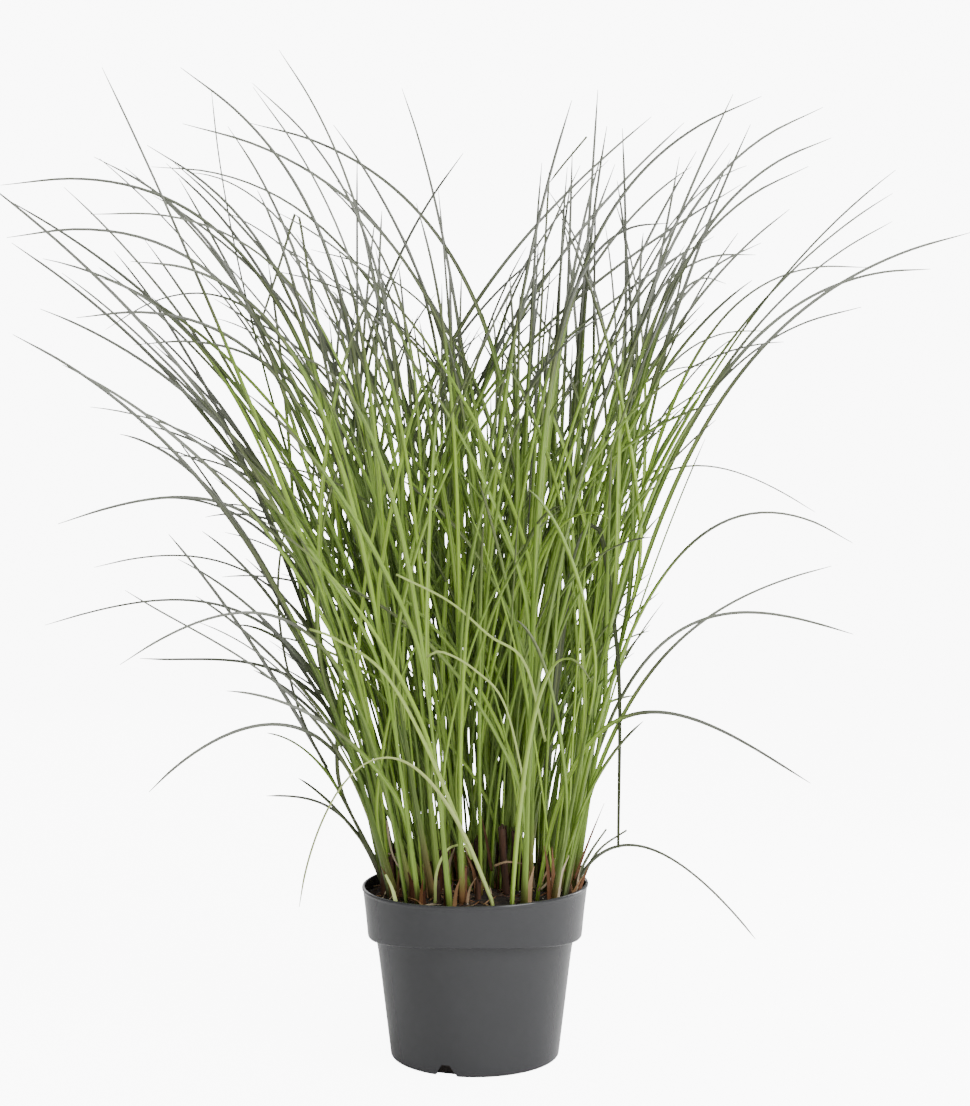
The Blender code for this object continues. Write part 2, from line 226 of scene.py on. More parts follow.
# Broken canes: x, y, height above the compost, radius in centimetres, tone
BROKEN_CANES = (
    (3.5, 0.9, 6.2, 0.30, 0.05), (2.7, 1.2, 5.6, 0.26, 0.15), (3.9, 0.2, 4.4, 0.24, 0.20),
    (4.2, -0.6, 3.3, 0.26, 0.75), (0.6, 0.4, 3.8, 0.24, 0.10), (0.1, 1.3, 4.6, 0.28, 0.05),
    (-7.3, 0.6, 3.4, 0.34, 0.10), (-6.9, -0.5, 2.9, 0.30, 0.20), (-6.3, 1.2, 3.6, 0.34, 0.05),
    (-7.6, -1.3, 2.4, 0.26, 0.30), (-2.9, 0.9, 3.7, 0.30, 0.10), (-3.8, -0.7, 3.0, 0.26, 0.25),
    (6.6, -0.3, 2.6, 0.30, 0.20), (7.2, 0.9, 2.9, 0.30, 0.08), (5.6, 0.8, 2.8, 0.28, 0.12),
    (-2.1, -5.0, 2.0, 0.22, 0.15), (-2.9, -4.6, 2.6, 0.24, 0.10), (7.9, -2.9, 1.7, 0.20, 0.45),
)

# Canes: share of the height and scale of the radius at each ring, then the ragged rings
CANE_SIDES = 14
CANE_LEVELS = ((0.0, 1.15), (0.12, 1.02), (0.35, 0.95), (0.6, 1.0), (0.85, 0.94), (1.0, 0.92),
               (1.0, 0.62), (0.84, 0.5))
RAGGED_LEVELS = (5, 6)
CANE_DEPTH = 0.003

# Seeds of the random draws that belong to no node of the frame
INNER_SEED = 11
FINE_SEED = 5
CANE_SEED = 21
LITTER_SEED = 8
BARK_SEED = 3
PERLITE_SEED = 5

# Studio: the sweep in metres, then how bright it and the world are for the camera and otherwise
SWEEP_HALF_WIDTH = 12.0
SWEEP_FRONT = -9.0
SWEEP_BACK = 3.0
SWEEP_BEND = 1.5
SWEEP_BEND_STEPS = 12
SWEEP_TOP = 9.0
SWEEP_GLOW = 9.0
SWEEP_BOUNCE = 0.10
WORLD_GLOW = 0.20

# Lamps: name, place, height aimed at on the pot's axis, size, watts
LAMPS = (
    ("key_right", (1.5, -1.3, 1.6), 0.35, (1.2, 1.6), 54.0),
    ("fill_left", (-1.8, -1.1, 1.1), 0.35, (1.2, 1.6), 2.0),
    ("front", (0.3, -2.2, 0.9), 0.3, (2.4, 1.6), 9.0),
    ("edge_right", (1.1, 0.7, 0.4), 0.2, (0.4, 1.4), 11.0),
    ("back", (-0.9, 2.4, 1.3), 0.4, (2.0, 1.6), 13.0),
    ("top", (0.0, 0.2, 2.6), 0.4, (2.0, 2.0), 26.0),
)

# Camera: lens mm, place, degrees it dips below the level
CAMERA_LENS = 58.3
CAMERA_PLACE = (0.0085, -1.5, 0.4516)
CAMERA_DIP = 1.19

# Sockets of the mix node that carry colours
MIX_FACTOR, MIX_FIRST, MIX_SECOND, MIX_RESULT = 0, 6, 7, 2

UP = np.array((0.0, 0.0, 1.0))
FRONT = np.array((0.0, -1.0, 0.0))


def smoothstep(low, high, value):
    t = np.clip((value - low) / (high - low), 0.0, 1.0)
    return t * t * (3.0 - 2.0 * t)


def unit(vector):
    return vector / np.linalg.norm(vector, axis=-1, keepdims=True)


# ---------------------------------------------------------------- materials

def new_material(name, colour, roughness):
    material = bpy.data.materials.new(name)
    material.use_nodes = True
    shader = material.node_tree.nodes["Principled BSDF"]
    shader.inputs["Base Color"].default_value = (*colour, 1.0)
    shader.inputs["Roughness"].default_value = roughness
    return material, material.node_tree.nodes, material.node_tree.links, shader


def add_node(nodes, kind, **settings):
    node = nodes.new(kind)
    for key, value in settings.items():
        setattr(node, key, value)
    return node


def attribute(nodes, name):
    return add_node(nodes, "ShaderNodeAttribute", attribute_name=name).outputs["Fac"]


def ramp(nodes, links, source, stops):
    node = nodes.new("ShaderNodeValToRGB")
    bar = node.color_ramp
    while len(bar.elements) < len(stops):
        bar.elements.new(0.5)
    for element, (position, colour) in zip(bar.elements, stops):
        element.position = position
        element.color = (*colour, 1.0)
    links.new(source, node.inputs["Fac"])
    return node.outputs["Color"]


def mix(nodes, links, factor, first, second):
    node = add_node(nodes, "ShaderNodeMix", data_type="RGBA")
    for number, value in ((MIX_FACTOR, factor), (MIX_FIRST, first), (MIX_SECOND, second)):
        socket = node.inputs[number]
        if isinstance(value, bpy.types.NodeSocket):
            links.new(value, socket)
        elif isinstance(value, tuple):
            socket.default_value = (*value, 1.0)
        else:
            socket.default_value = value
    return node.outputs[MIX_RESULT]


def math_node(nodes, links, operation, *values):
    node = add_node(nodes, "ShaderNodeMath", operation=operation)
    for socket, value in zip(node.inputs, values):
        if isinstance(value, bpy.types.NodeSocket):
            links.new(value, socket)
        else:
            socket.default_value = value
    return node.outputs[0]


def noise_node(nodes, links, scale, detail=4.0, vector=None):
    node = nodes.new("ShaderNodeTexNoise")
    node.inputs["Scale"].default_value = scale
    node.inputs["Detail"].default_value = detail
    if vector is None:
        vector = nodes.new("ShaderNodeTexCoord").outputs["Object"]
    links.new(vector, node.inputs["Vector"])
    return node.outputs["Fac"]


def bump(nodes, links, shader, height, strength, distance):
    node = nodes.new("ShaderNodeBump")
    node.inputs["Strength"].default_value = strength
    node.inputs["Distance"].default_value = distance
    links.new(height, node.inputs["Height"])
    links.new(node.outputs["Normal"], shader.inputs["Normal"])


# Dry tissue from brown to straw
DRY_TONES = (
    (0.0, (0.060, 0.022, 0.012)),
    (0.35, (0.170, 0.070, 0.026)),
    (0.65, (0.300, 0.170, 0.075)),
    (1.0, (0.620, 0.520, 0.360)),
)


def blade_material():
    """Green blade: pale midrib (on the culms a painted highlight stripe), fine veins, brown foot,
    and painted shade that greys it to a grey-brown far end and darkens it towards the back.
    """
    material, nodes, links, shader = new_material("grass_blade", (0.1, 0.2, 0.03), 0.48)
    shader.inputs["Specular IOR Level"].default_value = 0.35
    age = attribute(nodes, "age")
    seed = attribute(nodes, "seed")
    across = attribute(nodes, "across")
    foot = attribute(nodes, "foot")
    pale = attribute(nodes, "pale")
    fresh = ramp(nodes, links, age, (
        (0.0, (0.410, 0.635, 0.075)),
        (0.30, (0.245, 0.405, 0.056)),
        (0.50, (0.150, 0.175, 0.080)),
        (0.70, (0.095, 0.095, 0.080)),
        (1.0, (0.270, 0.268, 0.258)),
    ))
    # Deep: a darker copy of the fresh ramp, used at random and as painted shade for the blades
    # further back
    deep = ramp(nodes, links, age, (
        (0.0, (0.092, 0.168, 0.026)),
        (0.30, (0.068, 0.112, 0.028)),
        (0.50, (0.058, 0.070, 0.036)),
        (0.70, (0.044, 0.044, 0.040)),
        (1.0, (0.180, 0.178, 0.172)),
    ))
    colour = mix(nodes, links, seed, fresh, deep)
    mottle = math_node(nodes, links, "MULTIPLY", noise_node(nodes, links, 60.0), 0.35)
    colour = mix(nodes, links, mottle, colour, (0.16, 0.24, 0.04))
    # Pale stripe where across is near 0: the real midrib on blades, a painted highlight down the
    # middle of each culm face
    side = math_node(nodes, links, "ABSOLUTE", across)
    midrib_and_highlight = math_node(nodes, links, "LESS_THAN", side, 0.16)
    green = math_node(nodes, links, "SUBTRACT", 1.0, age)
    strength = math_node(nodes, links, "MULTIPLY", green, 0.55)
    midrib_and_highlight = math_node(nodes, links, "MULTIPLY", midrib_and_highlight, strength)
    colour = mix(nodes, links, midrib_and_highlight, colour, (0.520, 0.620, 0.230))
    colour = mix(nodes, links, pale, colour, (0.560, 0.660, 0.230))
    dry = ramp(nodes, links, seed, DRY_TONES)
    colour = mix(nodes, links, foot, colour, dry)
    links.new(colour, shader.inputs["Base Color"])
    veins = math_node(nodes, links, "SINE", math_node(nodes, links, "MULTIPLY", across, 26.0))
    bump(nodes, links, shader, veins, 0.25, 0.0002)
    return material


def dead_material():
    """Dry fibrous tissue: streaks along the height over the tone of each cane."""
    material, nodes, links, shader = new_material("dead_cane", (0.16, 0.08, 0.035), 0.85)
    place_of = nodes.new("ShaderNodeTexCoord").outputs["Object"]
    stretch = add_node(nodes, "ShaderNodeMapping")
    stretch.inputs["Scale"].default_value = (1.0, 1.0, 0.12)
    links.new(place_of, stretch.inputs["Vector"])
    streaks = noise_node(nodes, links, 520.0, 5.0, stretch.outputs["Vector"])
    tone = ramp(nodes, links, attribute(nodes, "seed"), DRY_TONES)
    shadow = math_node(nodes, links, "MULTIPLY_ADD", streaks, 1.6, -0.45)
    colour = mix(nodes, links, shadow, (0.030, 0.014, 0.009), tone)
    links.new(colour, shader.inputs["Base Color"])
    bump(nodes, links, shader, streaks, 0.6, 0.0006)
    return material


def pot_material():
    """Grey moulded plastic with a faint haze and fine scuffs."""
    material, nodes, links, shader = new_material("pot_plastic", (0.085, 0.088, 0.094), 0.38)
    haze = noise_node(nodes, links, 14.0, 3.0)
    grain = noise_node(nodes, links, 900.0, 2.0)
    colour = mix(nodes, links, haze, (0.039, 0.0393, 0.042), (0.051, 0.0516, 0.0555))
    links.new(colour, shader.inputs["Base Color"])
    rough = math_node(nodes, links, "MULTIPLY_ADD", haze, 0.08, 0.13)
    links.new(rough, shader.inputs["Roughness"])
    bump(nodes, links, shader, grain, 0.08, 0.0002)
    return material


def soil_material():
    """Dark crumbly compost with paler grains."""
    material, nodes, links, shader = new_material("compost", (0.02, 0.014, 0.01), 0.95)
    coarse = noise_node(nodes, links, 160.0, 6.0)
    colour = ramp(nodes, links, coarse, (
        (0.30, (0.006, 0.004, 0.003)),
        (0.55, (0.022, 0.014, 0.010)),
        (0.75, (0.055, 0.034, 0.021)),
    ))
    links.new(colour, shader.inputs["Base Color"])
    bump(nodes, links, shader, noise_node(nodes, links, 420.0, 6.0), 1.0, 0.0015)
    return material


def crumb_material(name, low, high):
    """Rough bits that vary between two colours."""
    material, nodes, links, shader = new_material(name, low, 0.9)
    colour = mix(nodes, links, noise_node(nodes, links, 220.0), low, high)
    links.new(colour, shader.inputs["Base Color"])
    bump(nodes, links, shader, noise_node(nodes, links, 700.0), 0.7, 0.0006)
    return material


# ------------------------------------------------------------------ meshes

FIELDS = ("age", "seed", "across", "foot", "pale")


class Bundle:
    """Closed shapes gathered into one mesh, with one value a vertex in each field."""

    def __init__(self):
        self.verts = []
        self.faces = []
        self.values = {field: [] for field in FIELDS}
        self.count = 0

    def add(self, verts, faces, **values):
        self.verts.append(verts)
        self.faces.extend(tuple(index + self.count for index in face) for face in faces)
        self.count += len(verts)
        for field in FIELDS:
            self.values[field].append(np.broadcast_to(values.get(field, 0.0), (len(verts),)))

    def build(self, name, material):
        mesh = bpy.data.meshes.new(name)
        mesh.from_pydata(np.concatenate(self.verts).tolist(), [], self.faces)
        for field in FIELDS:
            layer = mesh.attributes.new(field, "FLOAT", "POINT")
            layer.data.foreach_set("value", np.concatenate(self.values[field]).astype(np.float32))
        mesh.shade_smooth()
        return place(name, mesh, material)


def place(name, mesh, material):
    item = bpy.data.objects.new(name, mesh)
    bpy.context.scene.collection.objects.link(item)
    mesh.materials.append(material)
    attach(item, "root")
    return item


def ring_faces(rings, sides):
    """Quads between rings that run along a strip, and a cap at each end."""
    faces = []
    for ring in range(rings - 1):
        for side in range(sides):
            a = ring * sides + side
            b = ring * sides + (side + 1) % sides
            faces.append((a, b, b + sides, a + sides))
    faces.append(tuple(reversed(range(sides))))
    faces.append(tuple(range((rings - 1) * sides, rings * sides)))
    return faces


def smooth_route(points, count):
    """Catmull-Rom curve through the points, sampled at even steps."""
    points = np.asarray(points, float)
    ends = np.vstack((2 * points[0] - points[1], points, 2 * points[-1] - points[-2]))
    dense = []
    for i in range(1, len(ends) - 2):
        a, b, c, d = ends[i - 1:i + 3]
        for t in np.linspace(0.0, 1.0, 12, endpoint=False):
            dense.append(0.5 * (2 * b + (c - a) * t + (2 * a - 5 * b + 4 * c - d) * t**2
                                + (3 * b - 3 * c + d - a) * t**3))
    dense.append(points[-1])
    return resample(np.array(dense), count)


def resample(points, count):
    steps = np.linalg.norm(np.diff(points, axis=0), axis=1)
    length = np.concatenate(((0.0,), np.cumsum(steps)))
    marks = np.linspace(0.0, length[-1], count)
    return np.stack([np.interp(marks, length, points[:, axis]) for axis in range(3)], axis=1)


def route_length(route):
    return float(np.linalg.norm(np.diff(route, axis=0), axis=1).sum())


def carried_frames(route, facing, twist):
    """Side and face direction at each point, carried along without spin, then twisted."""
    tangents = unit(np.gradient(route, axis=0))
    faces = [unit(facing - tangents[0] * np.dot(facing, tangents[0]))]
    for tangent in tangents[1:]:
        face = unit(faces[-1] - tangent * np.dot(faces[-1], tangent))
        faces.append(face)
    faces = np.array(faces)
    sides = np.cross(tangents, faces)
    turn = np.linspace(0.0, twist, len(route))[:, None]
    turned = faces * np.cos(turn) + sides * np.sin(turn)
    return np.cross(tangents, turned), turned


# Ring of a blade: place across, rise of the fold, side of the thickness (the keel is thicker)
BLADE_SECTION = np.array((
    (-1.0, 1.0, 0.0), (-0.5, 0.42, 1.0), (0.0, 0.0, 1.0), (0.5, 0.42, 1.0),
    (1.0, 1.0, 0.0), (0.5, 0.42, -1.0), (0.0, 0.0, -1.7), (-0.5, 0.42, -1.0),
))


def blade_shape(route, half_widths, facing, twist, fold):
    """Folded strip: each ring is a shallow V with a keel, closed at both ends."""
    sides, faces = carried_frames(route, facing, twist)
    rings = []
    for middle, side, face, half, depth in zip(route, sides, faces, half_widths, fold):
        thick = min(BLADE_THICKNESS, half * 0.5)
        reach = BLADE_SECTION[:, 0, None] * side * half
        rise = (BLADE_SECTION[:, 1] * half * depth + BLADE_SECTION[:, 2] * thick)[:, None] * face
        rings.append(middle + reach + rise)
    verts = np.concatenate(rings)
    across = np.tile(BLADE_SECTION[:, 0], len(route))
    return verts, ring_faces(len(route), len(BLADE_SECTION)), across


def blade_widths(count, widest, start):
    """Half-width: quickly full, then narrowing all the way to a hair-fine tip."""
    t = np.linspace(0.0, 1.0, count)
    rise = start + (1.0 - start) * smoothstep(0.0, 0.22, t)
    fall = 1.0 - np.clip((t - 0.15) / 0.85, 0.0, 1.0) ** 2.1
    taper = np.interp(t, (0.0, 0.70, 0.93, 1.0), (1.0, 1.0, 0.70, 0.16))
    finest = min(TIP_HALF_WIDTH, widest) * taper
    return np.maximum(widest * rise * fall, finest)


def outer_shade_mask(points):
    """Mask of the painted shade on blades and culms: 0 inside the clump, 1 well outside it or above
    it.
    """
    radius = np.hypot(points[:, 0], points[:, 1] * 0.6)
    envelope = 0.075 + 0.34 * (points[:, 2] - SOIL_TOP)
    outside = smoothstep(0.78, 1.22, radius / np.maximum(envelope, 0.07))
    above = smoothstep(0.48, 0.72, points[:, 2])
    return np.maximum(outside, above)


def add_blade(bundle, route, widest, rng, facing, start=0.8, pale=0.0, green=0.0):
    """One folded blade, painted greyer where it stands out of the clump and towards its tip (painted
    shade), some blades older at random.
    """
    count = len(route)
    widths = blade_widths(count, widest, start)
    t = np.linspace(0.0, 1.0, count)
    fold = np.interp(t, (0.0, 0.12, 0.5, 1.0), (1.1, 0.55, 0.35, 0.5))
    twist = rng.uniform(-0.8, 0.8)
    verts, faces, across = blade_shape(route, widths, facing, twist, fold)
    # Painted shade: grey outside and above the clump and towards the tip; the random step after it
    # makes some blades older
    tip = smoothstep(0.45, 1.0, np.repeat(t, len(BLADE_SECTION)))
    shade = 0.80 * outer_shade_mask(verts) + 0.30 * tip + rng.uniform(-0.06, 0.10)
    shade *= min(1.0, route_length(route) / FULL_TONE_LENGTH)
    shade += OLDER_STEP * (rng.random() < OLDER_SHARE)
    bundle.add(verts, faces, age=np.clip(shade - green, 0.0, 1.0), across=across,
               seed=depth_shade_tone(route, rng), pale=pale)


def depth_shade_tone(route, rng):
    """Tone of a blade, 0 fresh to 1 deep: random, plus painted shade that makes those further back
    lean to the deep end.
    """
    return float(np.clip(0.75 * rng.random() + 4.5 * (route[:, 1].mean() + 0.01), 0.0, 1.0))


def add_culm(bundle, route, base_radius, rng, facing):
    """Flattened stem of nested sheaths that steps thinner at each collar."""
    count = len(route)
    t = np.linspace(0.0, 1.0, count)
    steps = sum(smoothstep(mark, mark + 0.03, t) for mark in CULM_COLLARS)
    swell = 1.0 + 0.12 * (1.0 - smoothstep(0.0, 0.12, t)) - 0.20 * smoothstep(0.10, 0.45, t)
    radius = base_radius * swell * (1.0 - 0.09 * steps) * (1.0 - 0.30 * t)
    side, face = carried_frames(route, facing, rng.uniform(-0.4, 0.4))
    angles = np.linspace(0.0, math.tau, CULM_SIDES, endpoint=False) + 0.05
    ring = np.stack((np.cos(angles), np.sin(angles) * CULM_FLATNESS), axis=1)
    verts = np.concatenate([
        middle + (ring[:, 0, None] * s + ring[:, 1, None] * f) * r
        for middle, s, f, r in zip(route, side, face, radius)
    ])
    # Across is 0 down the middle of each broad face, where the pale stripe is painted: a painted
    # highlight
    across = np.tile(np.where(np.abs(np.cos(angles)) < 0.1, 0.0, 1.0), count)
    height = verts[:, 2] - SOIL_TOP
    foot = (1.0 - smoothstep(0.004, rng.uniform(0.018, 0.075), height)) * rng.uniform(0.45, 1.0)
    pale = rng.uniform(0.0, 0.12) * (1.0 - smoothstep(0.04, 0.16, height))
    # Painted shade: the culm turns greyer outside the clump, with some random tone
    shade = 0.20 + 0.35 * outer_shade_mask(verts) + rng.uniform(-0.08, 0.18)
    bundle.add(verts, ring_faces(count, CULM_SIDES), age=np.clip(shade, 0.0, 1.0), across=across,
               seed=depth_shade_tone(route, rng), foot=foot, pale=pale)


# ------------------------------------------------------------------ routes

def frame_nodes(prefix):
    return sorted(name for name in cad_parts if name.startswith(prefix))


def disc_spot(rng, radius):
    """Random place in a disc round the pot's axis, evenly spread."""
    reach = radius * math.sqrt(rng.random())
    angle = rng.uniform(0.0, math.tau)
    return reach * math.cos(angle), reach * math.sin(angle)


def route_heading(route):
    """Way the route goes from its root to its tip, seen from above."""
    return math.atan2(route[-1][1] - route[0][1], route[-1][0] - route[0][0])


def cad_route(node):
    """Centres of the strap's rings, in order from its root."""
    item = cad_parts[node]
    corners = [tuple(item.matrix_world @ v.co) for v in item.data.vertices]
    spots = np.unique(np.round(corners, 5), axis=0)
    groups = []
    for spot in spots:
        for group in groups:
            if np.linalg.norm(group[0] - spot) < RING_SPREAD:
                group.append(spot)
                break
        else:
            groups.append([spot])
    centres = [np.mean(group, axis=0) for group in groups]
    start = min(centres, key=lambda c: math.hypot(c[0], c[1]) + 4.0 * abs(c[2] - SOIL_TOP))
    ordered = [start]
    rest = [c for c in centres if c is not start]
    while rest:
        nearest = min(rest, key=lambda c: np.linalg.norm(c - ordered[-1]))
        ordered.append(nearest)
        rest = [c for c in rest if c is not nearest]
    return np.array(ordered)


def leaning(lean, heading):
    """Direction that leans away from upright towards the heading."""
    aside = math.sin(lean)
    return np.array((aside * math.cos(heading), aside * math.sin(heading), math.cos(lean)))


def leaf_route(start, along, heading, lean_start, lean_end, length, power):
    """Route that leaves a culm along its line and arches over in a vertical plane."""
    step = length / (RINGS - 1)
    points = [start]
    for index in range(1, RINGS):
        t = index / (RINGS - 1)
        lean = lean_start + (lean_end - lean_start) * t**power
        blend = float(smoothstep(0.0, 0.30, t))
        heading_now = unit(along * (1.0 - blend) + leaning(lean, heading) * blend)
        points.append(points[-1] + heading_now * step)
    return np.array(points)


def blade_facing(heading, rng):
    """Way a blade's face looks: inward over the clump, turned part of the way to the front."""
    inward = -leaning(math.pi / 2, heading + rng.uniform(-0.7, 0.7))
    nearer = FRONT if inward[1] < 0.0 else -FRONT
    return unit(0.5 * inward + rng.uniform(0.4, 1.1) * nearer)


def fits(route):
    """Whether the route stays in the CAD box, under the crest and within the reach to each side."""
    inside = bool(np.all(route > LOWEST_CORNER) and np.all(route < HIGHEST_CORNER))
    x, y, z = route.T
    crest = np.interp(np.abs(x - CREST_MIDDLE), CREST_SPANS, CREST_HEIGHTS)
    left = np.interp(z, HEIGHTS, LEFT_REACH)
    right = np.interp(z, HEIGHTS, RIGHT_REACH)
    below_crest = bool(np.all(z < crest + CREST_RISE * y))
    within_reach = bool(np.all(x > -left) and np.all(x < right))
    return inside and below_crest and within_reach and z.min() > SOIL_TOP - 0.001


def fitted_leaf(start, along, heading, lean_start, lean_end, length, power):
    """Leaf route that fits, made shorter and straighter as needed, or None."""
    for _ in range(FIT_TRIES):
        route = leaf_route(start, along, heading, lean_start, lean_end, length, power)
        if fits(route):
            return route
        length *= FIT_SHRINK
        lean_end = lean_start + FIT_STRAIGHTEN * (lean_end - lean_start)
    return None


def add_side_leaves(bundle, culm, rng, count, reach):
    """Blades that leave a culm in two ranks, the lowest first."""
    rank = rng.uniform(0.0, math.tau)
    outward = route_heading(culm)
    tangents = unit(np.gradient(culm, axis=0))
    for index in range(count):
        share = (index + rng.uniform(0.7, 1.4)) / (count + 0.6)
        at = min(len(culm) - 2, int(share * (len(culm) - 1)))
        heading = rank + math.pi * index + rng.uniform(-0.5, 0.5)
        away = 0.5 + 0.5 * math.cos(heading - outward)
        along = tangents[at]
        lean_culm = math.acos(float(np.clip(along[2], -1, 1)))
        lean_start = lean_culm * math.cos(heading - outward) + math.radians(rng.uniform(5, 22))
        bend = math.radians(rng.uniform(12, 48) + 48.0 * away * rng.random())
        length = reach * rng.uniform(0.6, 1.05) * (0.75 + 0.3 * share)
        start = culm[at] + leaning(math.pi / 2, heading) * 0.0012
        power = rng.uniform(1.2, 2.2)
        route = fitted_leaf(start, along, heading, lean_start, lean_start + bend, length, power)
        if route is None:
            continue
        add_blade(bundle, route, rng.uniform(0.0014, 0.0023), rng, blade_facing(heading, rng))


def companion(route, rng):
    """Route that shares the shoot's lower part, then parts from it in its own direction."""
    root = route[0]
    turn = rng.gauss(0.0, 0.40)
    tilt = math.radians(rng.gauss(0.0, 6.0))
    scale = rng.uniform(0.76, 1.04)
    arm = (route - root) * scale
    spun_x = arm[:, 0] * math.cos(turn) - arm[:, 1] * math.sin(turn)
    spun_y = arm[:, 0] * math.sin(turn) + arm[:, 1] * math.cos(turn)
    aside = spun_x * math.cos(tilt) + arm[:, 2] * math.sin(tilt)
    rise = arm[:, 2] * math.cos(tilt) - spun_x * math.sin(tilt)
    parted = root + np.stack((aside, spun_y, rise), axis=1)
    blend = smoothstep(0.12, 0.55, np.linspace(0.0, 1.0, len(route)))[:, None]
    return route * (1.0 - blend) + parted * blend


def add_companions(bundle, route, rng, count):
    """Blades that rise with the main one and fan out beside it."""
    heading = route_heading(route)
    for _ in range(count):
        for _ in range(COMPANION_TRIES):
            parted = companion(route, rng)
            if fits(parted):
                break
        else:
            continue
        start = int(rng.uniform(0.16, 0.34) * len(route))
        facing = blade_facing(heading, rng)
        widest = rng.uniform(0.0014, 0.0021)
        add_blade(bundle, resample(parted[start:], RINGS + 6), widest, rng, facing, start=0.6)


def make_shoot(name, points, material, rng, node=None, base_radius=CULM_RADIUS):
    """Culm, main blade, side blades and dry scales as one piece; companions with a node."""
    bundle = Bundle()
    route = smooth_route(points, ROUTE_POINTS)
    route[0, 2] -= ROOT_DEPTH
    cut = int(CULM_SHARE * len(route))
    heading = route_heading(route)
    facing = leaning(math.pi / 2, heading + math.pi / 2 + rng.uniform(-0.6, 0.6))
    culm = route[:cut + 4]
    add_culm(bundle, culm, base_radius, rng, facing)
    widest = MAIN_HALF_WIDTH * rng.uniform(0.75, 1.0)
    add_blade(bundle, resample(route[cut - 6:], RINGS + 14), widest, rng,
              blade_facing(heading, rng), start=0.7)
    add_side_leaves(bundle, culm, rng, LEAVES_PER_SHOOT, route_length(route) * 0.72)
    if node:
        add_companions(bundle, route, rng, COMPANIONS)
    add_dry_scales(bundle, np.array((*route[0, :2], SOIL_TOP)), rng)
    piece = bundle.build(name, material)
    if node:
        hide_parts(node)
    return piece


def make_cad_shoots(material):
    """A shoot for each shoot of the frame; gives back where they are rooted."""
    roots = []
    for node in frame_nodes("shoot_"):
        rng = random.Random(node)
        points = cad_route(node)
        roots.append(points[0])
        make_shoot(f"{node}_grass", points, material, rng, node)
    return roots


def make_side_leaves(material):
    """One folded blade for each side leaf of the frame."""
    for node in frame_nodes("side_leaf_"):
        rng = random.Random(node)
        route = smooth_route(cad_route(node), RINGS + 20)
        route[0, 2] -= ROOT_DEPTH
        bundle = Bundle()
        pale, green = FRONT_LEAVES.get(node, (0.0, 0.0))
        add_blade(bundle, route, SIDE_LEAF_HALF_WIDTH, rng, blade_facing(route_heading(route), rng),
                  start=0.9, pale=pale, green=green)
        piece = bundle.build(f"{node}_blade", material)
        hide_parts(node)


def make_extra_shoots(material, roots):
    """Thinner shoots that fill the clump behind those of the frame, fanned out to both sides."""
    rng = random.Random(INNER_SEED)
    made = 0
    for _ in range(40 * EXTRA_SHOOTS):
        if made == EXTRA_SHOOTS:
            break
        root = np.array((*disc_spot(rng, ROOT_RADIUS), SOIL_TOP))
        if root[1] < 0.0:
            continue
        if min(np.linalg.norm(root[:2] - other[:2]) for other in roots) < ROOT_GAP:
            continue
        fan = 0.75 * root[0] / ROOT_RADIUS + rng.gauss(-0.15, 0.5)
        depth = 0.6 * root[1] / ROOT_RADIUS + rng.gauss(0.0, 0.35)
        heading = math.atan2(depth, fan)
        lean = math.radians(3.0 + 15.0 * min(1.2, math.hypot(fan, depth)) - 4.0 * fan)
        bend = math.radians(rng.uniform(12, 60))
        along = leaning(lean, heading)
        length = rng.uniform(0.46, 0.72)
        route = fitted_leaf(root, along, heading, lean, lean + bend, length, 1.8)
        if route is None:
            continue
        roots.append(root)
        made += 1
        make_shoot(f"inner_shoot_{made:02d}", route, material, rng, base_radius=INNER_CULM_RADIUS)


def make_fine_blades(material):
    """Fine blades that stand between the shoots, most of them towards the back."""
    rng = random.Random(FINE_SEED)
    bundle = Bundle()
    for _ in range(FINE_BLADES):
        radius = FINE_RADIUS * math.sqrt(rng.random())
        angle = rng.uniform(-0.35, math.pi + 0.35)
        root = np.array((radius * math.cos(angle), radius * math.sin(angle), SOIL_TOP - 0.0005))
        heading = rng.gauss(angle, 0.9)
        lean = math.radians(rng.uniform(0, 16))
        bend = math.radians(rng.uniform(5, 55))
        along = leaning(lean, heading)
        length = rng.uniform(0.22, 0.50)
        route = fitted_leaf(root, along, heading, lean, lean + bend, length, 1.6)
        if route is None:
            continue
        widest = rng.uniform(0.0009, 0.0015)
        add_blade(bundle, route, widest, rng, blade_facing(heading, rng), start=0.7)
    bundle.build("fine_blades", material)


# ------------------------------------------------------------ foot of the clump

def add_strip(bundle, points, half_width, rings=22, **values):
    """Short folded strip through the points, narrowed to both ends."""
    route = smooth_route(points, rings)
    t = np.linspace(0.0, 1.0, rings)
    taper = np.interp(t, (0.0, 0.15, 0.6, 1.0), (0.7, 1.0, 0.8, 0.15))
    widths = np.maximum(half_width * taper, 0.0003)
    facing = unit(np.array(STRIP_FACING))
    verts, faces, across = blade_shape(route, widths, facing, 0.6, np.full(rings, 0.5))
    bundle.add(verts, faces, across=across, **values)


def add_dry_scales(bundle, root, rng):
    """One to three dead sheath tips that stand at the foot of a shoot."""
    for _ in range(rng.choice((1, 2, 2, 3))):
        heading = rng.uniform(0.0, math.tau)
        height = rng.uniform(0.012, 0.048)
        lean = rng.uniform(0.05, 0.55)
        start = root + leaning(math.pi / 2, heading) * 0.0032
        low = start - 0.003 * UP
        middle = start + leaning(lean * 0.4, heading) * height * 0.55
        points = (low, middle, middle + leaning(lean, heading) * height * 0.45)
        half_width = rng.uniform(0.0012, 0.0030)
        add_strip(bundle, points, half_width, rings=12, foot=1.0, seed=rng.random() ** 1.6)


